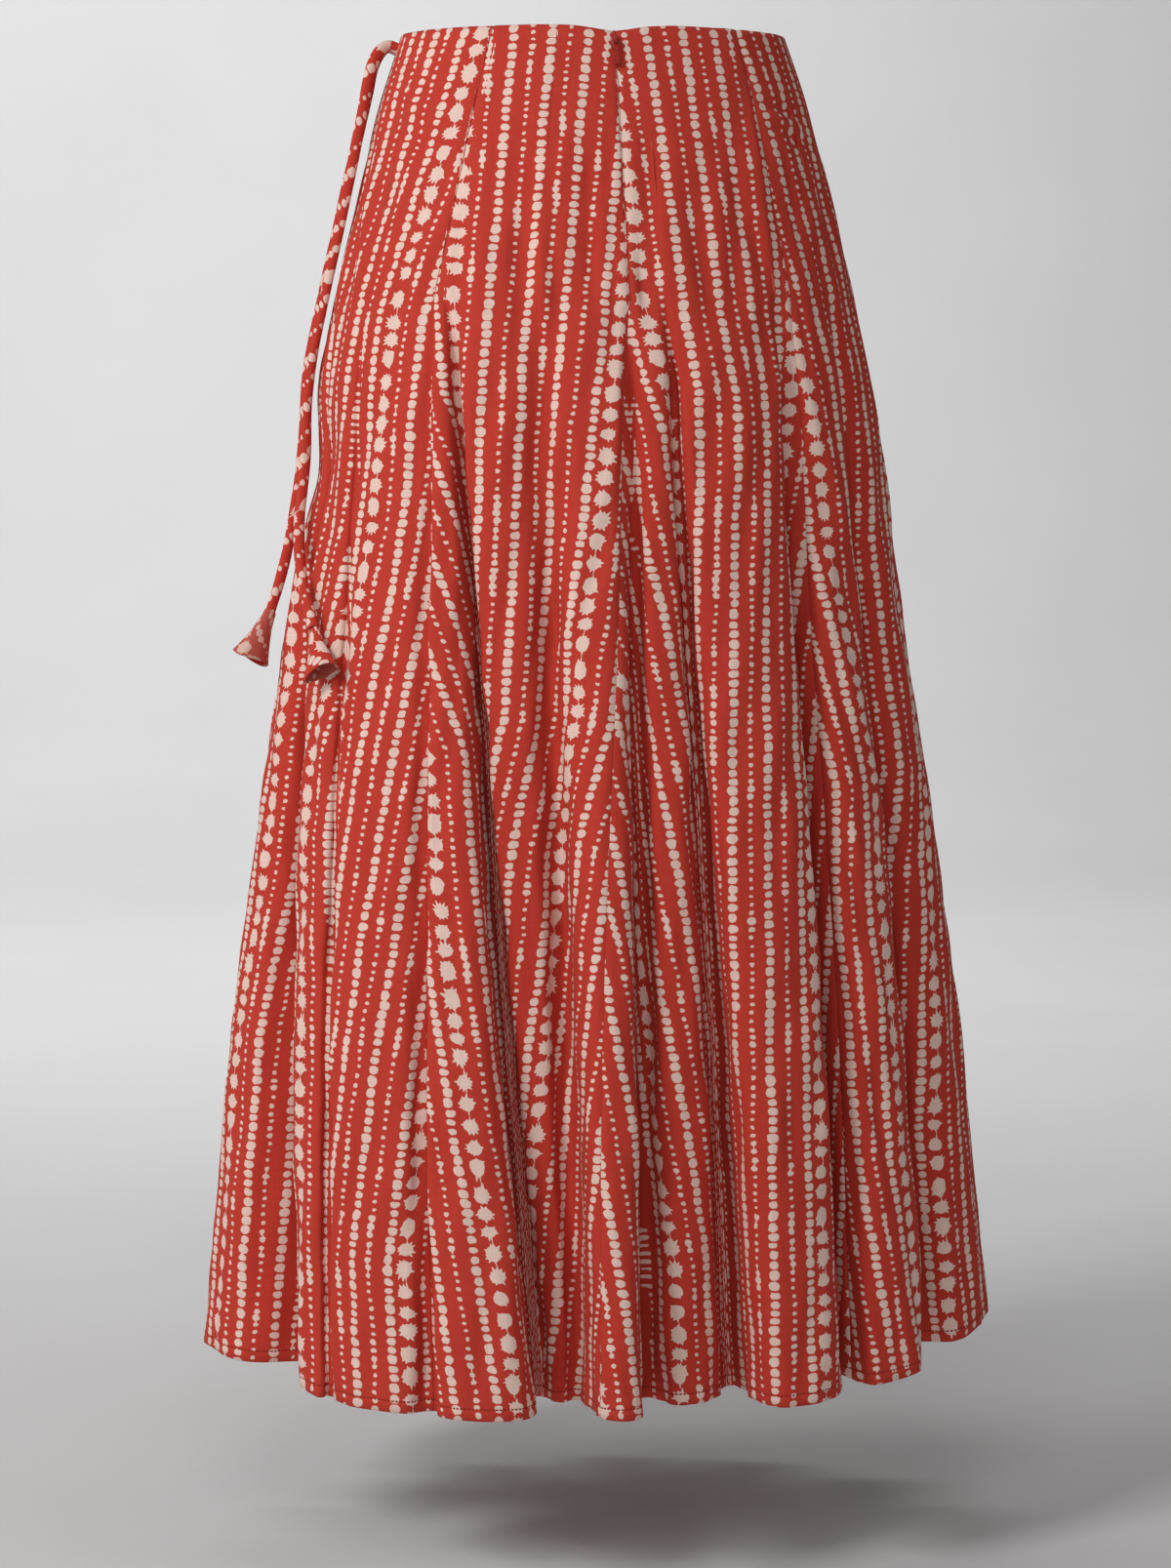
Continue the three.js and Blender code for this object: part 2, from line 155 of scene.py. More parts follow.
# A dot is a rounded square. Least and spread are shares of its size, swell is millimetres
dots = {
    "least": 0.87,
    "spread": 0.26,
    "tallLeast": 0.74,
    "tallSpread": 0.24,
    "squareness": 2.3,
    "mediumSwell": 0.25,
    "smallSwell": 1.15,
    "chainLength": 27.0,
    "chainFrom": 0.5,
    "chainTo": 0.66,
    "neckLeast": 0.18,
    "neckSpread": 0.45,
    "neckBlend": 0.7,
    "mediumApart": 0.5,  # how seldom the medium ones join
    "smallApart": 0.1,
}
# A star is a round disc with short uneven points, and some have a thorn towards the next one
stars = {
    "points": 13,
    "disc": 0.86,
    "pointHeight": 0.7,
    "pointTaper": 1.5,
    "pointLeast": 0.02,
    "plainness": 0.5,  # how much of its points the plainest star loses
    "wideLeast": 0.88,
    "wideSpread": 0.24,
    "thornShare": 0.5,  # of the stars that have one
    "thornAside": 1.2,
    "thornTip": 0.18,
    "thornSlope": 0.16,
}
# Where in the noise each chance is drawn
drawnAt = {
    "column": 3.7,
    "wander": 7.31,
    "chain": 3.17,
    "chainLayer": 5.0,
    "driftLayer": 9.0,
    "start": 17.0,
    "gapLayer": 4.0,
    "starTurn": 5.0,
    "point": 1.7,
}
voile = {
    "red": "#B5362A",
    "redLight": "#C23E31",
    "cream": "#E9CDC0",
    "creamWorn": "#DDBCAD",
    "reverseRed": "#B9584C",
    "reverseCream": "#D9B5A4",
    "thread": "#8F2A20",
    "slubWidth": 0.8,  # millimetres, coarser than the real 0.3 mm yarn so that it shows
    "slubLength": 16,
    "slubFrom": 0.36,
    "slubTo": 0.64,
    "slubDye": 0.55,
    "cloudScale": 0.012,
    "cloudDye": 0.9,
    "paler": -0.22,
    "hemTurn": 7,
    "stitchLength": 2.6,
    "stitchHalf": 0.55,
    "stitchGap": 0.14,
    "furrowReach": 1.6,
}
# The cloth's small relief: millimetres across and along, and heights as shares of the distance
relief = {
    "puckerReach": 9.0,  # from a seam
    "puckerSize": (30.0, 5.5),
    "pucker": 1.1,
    "crinkleSize": (9.0, 26.0),
    "crinkle": 0.55,
    "yarn": 0.22,
    "furrow": 0.5,
    "strength": 0.55,
    "distance": 0.001,
}
clothSurface = {
    "Roughness": 0.86,
    "Specular IOR Level": 0.12,
    "Sheen Weight": 0.05,
    "Sheen Roughness": 0.5,
    "Sheen Tint": linearColour("#F2C9BC"),
}


def printMask(tree, across, along):
    # 1 where the cream print lies, from the place on the cloth in millimetres
    maths = mathsOf(tree)

    def chanceAt(*place):
        return put(tree, "TexWhiteNoise", {"noise_dimensions": "3D"}, ("Vector", vectorAt(tree, *place)))

    def alongColumn(column, length, layer=0.0):
        return noiseAt(tree, vectorAt(tree, column, maths("DIVIDE", along, length), layer), 1.0, 1.0)

    def centred(value):
        return maths("SUBTRACT", value, 0.5)

    def varied(chance, least, spread):
        return maths("MULTIPLY_ADD", chance, spread, least)

    # hand-cut edges: the place itself is shaken a little before the shapes are drawn
    flat = vectorAt(tree, across, along)
    slow = put(tree, "SeparateXYZ", None, noiseAt(tree, flat, shake["slow"], 1.0).outputs["Color"])
    quick = put(tree, "SeparateXYZ", None, noiseAt(tree, flat, shake["quick"], 1.0).outputs["Color"])

    def shaken(value, axis, shape):
        once = maths("MULTIPLY_ADD", centred(slow.outputs[axis]), shake[shape + "Slow"], value)
        return maths("MULTIPLY_ADD", centred(quick.outputs[axis]), shake[shape + "Quick"], once)

    column = maths("ADD", maths("DIVIDE", across, printing["columnPitch"]), 0.5)
    number = maths("FLOOR", column)
    kind = maths("FLOORED_MODULO", number, float(printing["columnsPerRepeat"]))
    isStar = maths("LESS_THAN", kind, 0.5)
    isSmall = maths("GREATER_THAN", maths("MODULO", kind, 2.0), 0.5)
    columnChance = chanceAt(number, drawnAt["column"])
    stray = alongColumn(maths("MULTIPLY", number, drawnAt["wander"]), printing["wanderLength"])
    fromMiddle = centred(maths("SUBTRACT", column, number))
    sideways = maths("MULTIPLY", centred(stray), printing["wander"] * 2)
    placed = maths("MULTIPLY_ADD", centred(columnChance), printing["offset"] * 2, sideways)
    aside = maths("MULTIPLY_ADD", fromMiddle, printing["columnPitch"], placed)

    def byKind(medium, small, star):
        withSmall = maths("MULTIPLY_ADD", isSmall, small - medium, medium)
        return maths("MULTIPLY_ADD", isStar, star - medium, withSmall)

    # in some stretches the dots swell and join to a chain
    chainColumn = maths("MULTIPLY", number, drawnAt["chain"])
    chain = alongColumn(chainColumn, dots["chainLength"], drawnAt["chainLayer"])
    joining = mapped(tree, chain, dots["chainFrom"], dots["chainTo"], 0.0, 1.0, "SMOOTHSTEP")
    swell = byKind(dots["mediumSwell"], dots["smallSwell"], 0.0)
    half = byKind(printing["mediumHalf"], printing["smallHalf"], printing["starHalf"])
    half = maths("MULTIPLY_ADD", joining, swell, half)
    pitch = byKind(printing["mediumPitch"], printing["smallPitch"], printing["starPitch"])
    lateness = alongColumn(number, printing["driftLength"], drawnAt["driftLayer"])
    drift = maths("MULTIPLY", centred(lateness), printing["drift"])
    pitches = maths("ADD", maths("DIVIDE", along, pitch), drift)
    step = maths("MULTIPLY_ADD", columnChance, drawnAt["start"], pitches)
    mark = maths("FLOOR", step)
    onward = maths("MULTIPLY", centred(maths("SUBTRACT", step, mark)), pitch)
    chances = put(tree, "SeparateXYZ", None, chanceAt(number, mark).outputs["Color"])
    size = maths("MULTIPLY", half, varied(chances.outputs[0], dots["least"], dots["spread"]))
    tall = maths("MULTIPLY", size, varied(chances.outputs[1], dots["tallLeast"], dots["tallSpread"]))
    beside = maths("ADD", aside, centred(chances.outputs[2]))

    # the dot
    def sidePart(distance, reach):
        return maths("POWER", maths("DIVIDE", maths("ABSOLUTE", distance), reach), dots["squareness"])

    dotBeside = shaken(beside, 0, "dot")
    corner = maths("ADD", sidePart(dotBeside, size), sidePart(shaken(onward, 1, "dot"), tall))
    rounded = maths("POWER", corner, 1 / dots["squareness"])
    dot = maths("MULTIPLY", maths("SUBTRACT", rounded, 1.0), tall)

    # the neck between two dots, where they join
    gapChance = chanceAt(number, maths("ROUND", step), drawnAt["gapLayer"])
    neckHalf = maths("MULTIPLY", size, varied(gapChance, dots["neckLeast"], dots["neckSpread"]))
    apart = maths("ADD", gapChance, byKind(dots["mediumApart"], dots["smallApart"], 0.0))
    isApart = maths("GREATER_THAN", maths("SUBTRACT", apart, joining), 0.0)
    neck = maths("SUBTRACT", maths("ABSOLUTE", dotBeside), neckHalf)
    neck = maths("ADD", neck, maths("MULTIPLY", isApart, printing["farOff"]))
    bead = maths("SMOOTH_MIN", dot, neck, dots["neckBlend"])

    # the star's disc and points
    angle = maths("ARCTAN2", onward, beside)
    start = maths("MULTIPLY", chances.outputs[1], drawnAt["starTurn"])
    turned = maths("MULTIPLY_ADD", angle, stars["points"] / (2 * math.pi), start)
    pointNumber = maths("FLOOR", maths("ADD", turned, 0.5))
    uneven = chanceAt(maths("MULTIPLY", pointNumber, drawnAt["point"]), mark, number)
    sharp = maths("SUBTRACT", 1.0, maths("MULTIPLY", maths("PINGPONG", turned, 0.5), 2.0))
    lost = maths("MULTIPLY", chances.outputs[2], stars["plainness"])
    left = maths("MAXIMUM", maths("SUBTRACT", uneven, lost), stars["pointLeast"])
    pointHeight = maths("MULTIPLY", left, stars["pointHeight"])
    pointHeight = maths("MULTIPLY", maths("POWER", sharp, stars["pointTaper"]), pointHeight)
    rim = maths("MULTIPLY", size, maths("ADD", pointHeight, stars["disc"]))
    width = varied(chances.outputs[0], stars["wideLeast"], stars["wideSpread"])
    wide = maths("MULTIPLY", shaken(beside, 0, "star"), width)
    high = shaken(onward, 1, "star")
    radius = maths("SQRT", maths("ADD", maths("MULTIPLY", wide, wide), maths("MULTIPLY", high, high)))
    disc = maths("SUBTRACT", radius, rim)

    # the star's thorn
    fromGap = maths("SUBTRACT", printing["starPitch"] / 2, maths("ABSOLUTE", onward))
    thornHalf = maths("MULTIPLY_ADD", fromGap, stars["thornSlope"], stars["thornTip"])
    thornAside = varied(gapChance, -stars["thornAside"], stars["thornAside"] * 2)
    thorn = maths("SUBTRACT", maths("ABSOLUTE", maths("ADD", wide, thornAside)), thornHalf)
    isPlain = maths("GREATER_THAN", gapChance, stars["thornShare"])
    thorn = maths("ADD", thorn, maths("MULTIPLY", isPlain, printing["farOff"]))
    star = maths("MINIMUM", disc, thorn)

    shape = maths("MULTIPLY_ADD", isStar, maths("SUBTRACT", star, bead), bead)
    return mapped(tree, shape, printing["softEdge"], -printing["softEdge"], 0.0, 1.0)


def printedVoile(name, red, redLight, cream, creamWorn):
    # Cotton voile, plain woven and block printed: matt, with slubs that run both ways and soft print edges
    material, tree, surface = newMaterial(name)
    maths = mathsOf(tree)
    cut = put(tree, "UVMap", {"uv_map": "cut"})
    millimetres = put(tree, "VectorMath", {"operation": "SCALE"}, cut, ("Scale", 1000.0))
    place = put(tree, "SeparateXYZ", None, millimetres)
    across, along = place.outputs[0], place.outputs[1]
    mask = printMask(tree, across, along)

    def grains(size, detail):
        at = vectorAt(tree, maths("DIVIDE", across, size[0]), maths("DIVIDE", along, size[1]))
        return noiseAt(tree, at, 1.0, detail)

    def millimetresFrom(line):
        distance = put(tree, "Attribute", {"attribute_name": line})
        return maths("MULTIPLY", distance.outputs["Fac"], 1000.0)

    warp = grains((voile["slubWidth"], voile["slubLength"]), 2.0)
    weft = grains((voile["slubLength"], voile["slubWidth"]), 2.0)
    yarn = maths("MULTIPLY", maths("ADD", warp, weft), 0.5)
    slub = mapped(tree, yarn, voile["slubFrom"], voile["slubTo"], 0.0, 1.0)
    cloud = noiseAt(tree, millimetres, voile["cloudScale"], 3.0)
    cloudDye = maths("MULTIPLY_ADD", cloud, voile["cloudDye"], voile["paler"])
    dye = maths("MULTIPLY_ADD", slub, voile["slubDye"], cloudDye)
    ground = mixed(tree, dye, linearColour(red), linearColour(redLight))
    pigment = mixed(tree, slub, linearColour(creamWorn), linearColour(cream))
    printed = mixed(tree, mask, ground, pigment)

    # the hem's stitch line, a row of short stitches in a shallow furrow
    fromLine = maths("ABSOLUTE", maths("SUBTRACT", millimetresFrom("hemDistance"), voile["hemTurn"]))
    furrow = mapped(tree, fromLine, 0.0, voile["furrowReach"], 1.0, 0.0)
    onThread = maths("LESS_THAN", fromLine, voile["stitchHalf"])
    stitchPhase = maths("PINGPONG", maths("DIVIDE", across, voile["stitchLength"]), 0.5)
    stitch = maths("MULTIPLY", onThread, maths("GREATER_THAN", stitchPhase, voile["stitchGap"]))
    sewn = mixed(tree, stitch, printed, linearColour(voile["thread"]))
    feed(tree, surface.inputs["Base Color"], sewn)

    # small puckers beside the seams, and crinkles all over
    nearSeam = mapped(tree, millimetresFrom("seamDistance"), 0.0, relief["puckerReach"], 1.0, 0.0)
    pucker = maths("MULTIPLY", grains(relief["puckerSize"], 1.0), nearSeam)
    puckered = maths("MULTIPLY", pucker, relief["pucker"])
    crinkle = grains(relief["crinkleSize"], 3.0)
    height = maths("ADD", maths("MULTIPLY", crinkle, relief["crinkle"]), puckered)
    height = maths("MULTIPLY_ADD", yarn, relief["yarn"], height)
    height = maths("SUBTRACT", height, maths("MULTIPLY", furrow, relief["furrow"]))
    depth = ("Strength", relief["strength"]), ("Distance", relief["distance"])
    feed(tree, surface.inputs["Normal"], put(tree, "Bump", None, *depth, ("Height", height)))
    for name, value in clothSurface.items():
        surface.inputs[name].default_value = value
    return material


# Die-cast zinc with baked red enamel: smooth and glossy, a shade darker than the cloth
zinc = {
    "colour": "#9C2218",
    "grain": 900.0,
    "smoothest": 0.16,
    "roughest": 0.3,
    "pitStrength": 0.15,
    "pitDepth": 0.0002,
    "coat": 0.5,
    "coatRoughness": 0.08,
}


def paintedZinc():
    material, tree, surface = newMaterial("painted zinc, die cast")
    place = put(tree, "TexCoord")
    pitted = noiseAt(tree, place.outputs["Object"], zinc["grain"], 2.0)
    roughness = mapped(tree, pitted, 0.3, 0.7, zinc["smoothest"], zinc["roughest"])
    feed(tree, surface.inputs["Roughness"], roughness)
    depth = ("Strength", zinc["pitStrength"]), ("Distance", zinc["pitDepth"])
    feed(tree, surface.inputs["Normal"], put(tree, "Bump", None, *depth, ("Height", pitted)))
    surface.inputs["Base Color"].default_value = linearColour(zinc["colour"])
    surface.inputs["Coat Weight"].default_value = zinc["coat"]
    surface.inputs["Coat Roughness"].default_value = zinc["coatRoughness"]
    return material


face = printedVoile(
    "cotton voile, printed",
    voile["red"],
    voile["redLight"],
    voile["cream"],
    voile["creamWorn"],
)
reverse = printedVoile(
    "cotton voile, reverse of the print",
    voile["reverseRed"],
    voile["reverseRed"],
    voile["reverseCream"],
    voile["reverseCream"],
)
enamel = paintedZinc()
print("materials made")

# Cloth sizes, as in the CAD source, in metres and degrees round the skirt from the centre back
cloth = {
    "length": 0.923,  # waist edge to hem at the centre back, straight down
    "hipLine": 0.182,  # where the flare is let out at the seams
    "zipDip": 0.004,
    "zipDipWidth": 9,
    "hemLiftRight": 0.031,
    "hemLiftLeft": 0.017,
    "hemLiftPower": 4,
    "crownShare": 0.14,
    "valleyFloor": 0.01,
    "swingPower": 0.8,
    "lowFoldPower": 1.4,
    "seamTurn": 0.45,
    "thickness": 0.0009,
    "rowsAboveHip": 44,
    "rowsBelowHip": 150,
    "edgeColumns": (0, 0.004, 0.012, 0.024),  # shares of a gore's width, closer together at its seams
    "innerColumns": (0.04, 0.96),
    "seamHold": 0.008,  # creases fade out this near a seam
    "seamDent": 0.0013,
    "seamDentReach": 0.0028,
    "seamDentPower": 1.5,
    "hemSlack": 0.0003,  # between the hem's layers
    "hemFoldAt": 0.55,
    "hemFoldBelow": 0.08,
    "firstSeed": 5,
}
hipShare = cloth["hipLine"] / cloth["length"]

# Girth over the folds' crowns: down from the waist, half width, half depth, how far the middle sits back
sections = np.array([
    (0.000, 0.1340, 0.101, 0.000),
    (0.047, 0.1490, 0.114, 0.002),
    (0.106, 0.1630, 0.131, 0.005),
    (0.178, 0.1795, 0.148, 0.008),
    (0.270, 0.1970, 0.165, 0.008),
    (0.390, 0.2125, 0.180, 0.006),
    (0.530, 0.2345, 0.200, 0.004),
    (0.700, 0.2590, 0.221, 0.002),
    (0.923, 0.2830, 0.242, 0.000),
])
sideDent = {"down": 0.305, "depth": 0.009, "reach": 0.045, "sharpness": 10}

# Folds from the left side round the back to the right side and on round the front. left and right are
# shoulders and dip the valley after them, as angles at hip and hem; sunk and depth are metres inside
foldColumns = ("left", "right", "dip", "sunk", "depth", "grow")
foldRows = [
    ((-98, -86), (-87, -68.5), (-85.5, -62), 0, 0.058, 0.8),
    ((-84, -53), (-68, -47.5), (-67, -46.3), 0, 0.007, 0.6),
    ((-66, -45), (-46, -33), (-43.6, -30), 0, 0.014, 0.9),
    ((-42.6, -28.5), (-41.8, -16), (-40.6, -16.4), 0, 0.072, 0.7),
    ((-38, -13.2), (-26, -11.2), (-19, -9.6), 0.056, 0.062, 0.8),
    ((-11.5, -5), (-2.8, -0.8), (0.6, 3), 0, 0.066, 0.8),
    ((2.8, 6), (6.2, 13.2), (8.2, 20.4), 0.042, 0.078, 0.8),
    ((10, 20), (33.5, 31.5), (36, 39), 0.004, 0.068, 0.7),
    ((42, 38.5), (54, 50.5), (58, 56.5), 0.003, 0.06, 0.8),
    ((62, 60.5), (84, 82), (90, 90), 0, 0.058, 0.9),
    ((96, 97), (112, 110), (118, 117), 0, 0.062, 0.8),
    ((122, 123), (136, 133), (141, 140), 0, 0.066, 0.7),
    ((145, 146), (160, 158), (165, 164), 0.004, 0.056, 0.9),
    ((168, 169), (180, 178), (184, 184), 0, 0.07, 0.8),
    ((189, 190), (200, 201), (205, 206), 0.006, 0.058, 0.9),
    ((209, 211), (222, 223), (226, 228), 0, 0.066, 0.7),
    ((230, 233), (242, 244), (247, 249), 0, 0.06, 0.8),
    ((250, 254), (258, 264), (260, 269), 0.002, 0.05, 0.9),
]
folds = [dict(zip(foldColumns, row)) for row in foldRows]
pointsPerFold = 4
foldPoints = len(folds) * pointsPerFold
columnShares = (3.0, 2.6, 0.8, 2.6)  # mesh columns that crown, flank, dip and flank get

# Gores from the left side: the left seam's angle at the waist and its place among the fold points at hip
# and hem, the mesh columns, and how far from the gore's middle its first star column runs
goreColumns = ("name", "waist", "hip", "hem", "columns", "star")
goreRows = [
    ("side_back_left_gore", -90, 0.73, 0.2, 100, 0.032),
    ("back_left_gore", -37, 10.5, 10.4, 130, -0.054),
    ("back_right_gore", 0, 22.5, 19.8, 130, -0.052),
    ("side_back_right_gore", 41, 31.85, 31.6, 90, -0.076),
    ("side_front_right_gore", 90, 38.5, 38.4, 90, -0.020),
    ("front_right_gore", 139, 46.5, 46.5, 80, 0.050),
    ("front_left_gore", 180, 53, 53, 90, -0.050),
    ("side_front_left_gore", 221, 61, 61, 110, 0.025),
]
gores = [dict(zip(goreColumns, row)) for row in goreRows]

# Cloth that the folds swallow: how far the print lies along on each fold's crown, by gore and the fold's
# number, as pairs of metres down from the waist and metres along
backLeftCrown = (
    (0.2, -0.002),
    (0.342, -0.008),
    (0.473, -0.007),
    (0.554, 0.008),
    (0.645, 0.015),
    (0.79, 0.031),
    (0.94, 0.045),
)
swallowed = {
    "side_back_left_gore": {
        0: (
            (0.07, -0.013), (0.2, 0), (0.451, -0.002), (0.597, 0.009),
            (0.702, 0.026), (0.791, 0.031), (0.94, 0.038),
        ),
        1: (
            (0.07, -0.013), (0.2, 0), (0.35, 0), (0.505, 0.03), (0.555, 0.03),
            (0.653, 0.016), (0.783, 0.006), (0.94, -0.004),
        ),
        2: ((0.07, -0.013), (0.2, 0), (0.297, -0.008), (0.35, -0.01), (0.5, 0), (0.835, 0.02), (0.94, 0.007)),
    },
    "back_left_gore": {
        3: ((0.255, 0), (0.497, -0.08), (0.584, -0.083), (0.672, -0.092), (0.841, -0.113), (0.94, -0.125)),
        4: backLeftCrown,
        5: backLeftCrown,
    },
    "back_right_gore": {
        5: ((0.3, 0), (0.449, -0.045), (0.547, -0.059), (0.94, -0.08)),
        6: (
            (0.2, 0), (0.245, -0.004), (0.279, -0.012), (0.33, -0.014),
            (0.4, -0.026), (0.835, -0.082), (0.94, -0.085),
        ),
        7: ((0.2, 0), (0.253, -0.011), (0.3, -0.015), (0.825, -0.025), (0.94, -0.028)),
    },
    "side_back_right_gore": {
        8: (
            (0.2, -0.004), (0.245, -0.007), (0.353, 0), (0.515, -0.006),
            (0.582, 0.009), (0.673, 0.019), (0.768, 0.028), (0.94, 0.022),
        ),
    },
}
valleyMiddle = 2.5  # where a fold's valley lies, counted along its points
valleyReach = 1.2  # over which the print changes from one crown's place to the next one's


def printShift(number, place, down):
    # metres to add to the place on the cloth, at each row and column
    byFold = swallowed.get(gores[number]["name"])
    if not byFold:
        return np.zeros_like(place)
    numbers = sorted(byFold)
    shifts = [np.interp(down, *np.array(byFold[k]).T)[:, None] for k in numbers]
    total = np.broadcast_to(shifts[0], place.shape).copy()
    for k, before, after in zip(numbers[1:], shifts, shifts[1:]):
        valley = (k - 1) * pointsPerFold + valleyMiddle
        share = np.clip((place - valley) / valleyReach + 0.5, 0, 1)
        total += (after - before) * share * share * (3 - 2 * share)
    return total


def blendOf(start, end, share):
    return start + (end - start) * share


def girth(column, down):
    downs, values = sections[:, 0], sections[:, column]
    steps = np.arange(len(downs))
    before, after = np.maximum(steps - 1, 0), np.minimum(steps + 1, len(downs) - 1)
    slopes = (values[after] - values[before]) / (downs[after] - downs[before])
    i = np.clip(np.searchsorted(downs, down, side="right") - 1, 0, len(downs) - 2)
    span, rise = downs[i + 1] - downs[i], values[i + 1] - values[i]
    f = (down - downs[i]) / span
    bendIn, bendOut = slopes[i] * span - rise, rise - slopes[i + 1] * span
    return values[i] + f * rise + f * (1 - f) * ((1 - f) * bendIn + f * bendOut)


def foldPoint(index, below, radius):
    # one of the folds' points at every height: metres round the girth, and metres inside it
    laps, place = divmod(index, foldPoints)
    fold, before = folds[place // pointsPerFold], folds[place // pointsPerFold - 1]
    depth = fold["depth"] * below ** fold["grow"]
    depthBefore = before["depth"] * below ** before["grow"]
    sunk = fold["sunk"] * below ** cloth["lowFoldPower"]
    part = ("left", "right", "dip", "dip")[place % pointsPerFold]
    inset = {
        "left": sunk + cloth["crownShare"] * np.maximum(depthBefore - sunk, 0),
        "right": sunk + cloth["crownShare"] * np.maximum(depth - sunk, 0),
        "dip": depth,
    }[part]
    floor = (0, 0, -0.5, 0.5)[place % pointsPerFold] * cloth["valleyFloor"] * below**0.5
    angle = blendOf(*fold[part], below ** cloth["swingPower"]) + laps * 360
    return np.radians(angle) * radius + floor, inset


def curveThrough(four, gaps, f):
    # on a centripetal curve through four values in a row, f of the way from the second to the third
    a, b, c, d = four
    d0, d1, d2 = gaps
    leave = d1 * ((b - a) / d0 - (c - a) / (d0 + d1) + (c - b) / d1)
    arrive = d1 * ((c - b) / d1 - (d - b) / (d1 + d2) + (d - c) / d2)
    bend, twist = 3 * (c - b) - 2 * leave - arrive, 2 * (b - c) + leave + arrive
    return b + f * (leave + f * (bend + f * twist))


def smoothBetween(points, f):
    # f of the way from the second to the third of four points, each with two coordinates
    def gap(a, b):
        return np.maximum(np.hypot(b[0] - a[0], b[1] - a[1]) ** 0.5, 1e-5)

    gaps = [gap(points[k], points[k + 1]) for k in range(3)]
    return [curveThrough([p[axis] for p in points], gaps, f) for axis in (0, 1)]


def foldedAt(place, below, radius):
    # angle and inset at a grid of places among the fold points, a row for each height
    first = np.floor(place).astype(int)
    lowest, highest = first.min() - 1, first.max() + 2
    table = [foldPoint(k, below, radius) for k in range(lowest, highest + 1)]
    along, inset = (np.stack([t[i] for t in table], axis=1) for i in (0, 1))
    rows = np.arange(len(below))[:, None]
    four = [(along[rows, first - lowest + k], inset[rows, first - lowest + k]) for k in (-1, 0, 1, 2)]
    alongHere, insetHere = smoothBetween(four, place - first)
    return np.degrees(alongHere / radius[:, None]), insetHere


def onSkirt(angle, inset, share):
    # points of the cloth's middle surface
    down = share * cloth["length"]
    a = np.radians(angle)
    side = np.sin(a)
    leftness = np.maximum(-side, 0) ** sideDent["sharpness"]
    dent = sideDent["depth"] * leftness * np.exp(-(((down - sideDent["down"]) / sideDent["reach"]) ** 2))
    fromZip = (angle + 180) % 360 - 180
    top = -cloth["zipDip"] * np.exp(-((fromZip / cloth["zipDipWidth"]) ** 2))
    lift = np.where(side > 0, cloth["hemLiftRight"], cloth["hemLiftLeft"])
    hem = -cloth["length"] + lift * side ** cloth["hemLiftPower"]
    x = (girth(1, down) - inset - dent) * side
    y = -(girth(2, down) - inset - dent) * np.cos(a) - girth(3, down)
    return np.stack([x, y, blendOf(top, hem, share)], axis=-1)


# Places among the fold points, from two folds before the first to four after the last
placeSteps = np.arange(-2 * pointsPerFold, foldPoints + 4 * pointsPerFold)
placeWeights = np.concatenate([[0], np.cumsum([columnShares[p % pointsPerFold] for p in placeSteps[:-1]])])


def goreGrid(number):
    # rows of points from waist to hem, columns from the left seam to the right one
    gore, after = gores[number], dict(gores[(number + 1) % len(gores)])
    if number + 1 == len(gores):
        after["waist"] += 360
        after["hip"] += foldPoints
        after["hem"] += foldPoints
    edge = np.array(cloth["edgeColumns"])
    inner = np.linspace(*cloth["innerColumns"], gore["columns"])
    t = np.concatenate([edge, inner, 1 - edge[::-1]])
    above = np.linspace(0, hipShare, cloth["rowsAboveHip"] + 1)[:-1]
    under = np.linspace(hipShare, 1, cloth["rowsBelowHip"] + 1)
    below = (under - hipShare) / (1 - hipShare)
    down = under * cloth["length"]
    radius = (girth(1, down) + girth(2, down)) / 2
    seams = [blendOf(g["hip"], g["hem"], below ** cloth["seamTurn"])[:, None] for g in (gore, after)]
    weights = [np.interp(s, placeSteps, placeWeights) for s in seams]
    place = np.interp(blendOf(weights[0], weights[1], t[None, :]), placeWeights, placeSteps)
    place[:, :1], place[:, -1:] = seams[0], seams[1]
    angle, inset = foldedAt(place, below, radius)
    lower = onSkirt(angle, inset, under[:, None])
    atHip = angle[0]
    across = (atHip - atHip[0]) / (atHip[-1] - atHip[0])
    rise = (above / hipShare)[:, None]
    left, right = blendOf(gore["waist"], atHip[0], rise), blendOf(after["waist"], atHip[-1], rise)
    upper = onSkirt(blendOf(left, right, across[None, :]), 0, above[:, None])
    places = np.concatenate([np.repeat(place[:1], len(above), axis=0), place])
    return np.concatenate([upper, lower]), places


def outwardOf(points):
    # the way out of the skirt at every point of a gore
    across = np.gradient(points, axis=1)
    down = np.gradient(points, axis=0)
    out = np.cross(down, across)
    return out / np.maximum(np.linalg.norm(out, axis=2, keepdims=True), 1e-9)


def runningLength(points, axis):
    steps = np.linalg.norm(np.diff(points, axis=axis), axis=2)
    total = np.cumsum(steps, axis=axis)
    zero = np.zeros_like(total[:, :1] if axis == 1 else total[:1])
    return np.concatenate([zero, total], axis=axis)


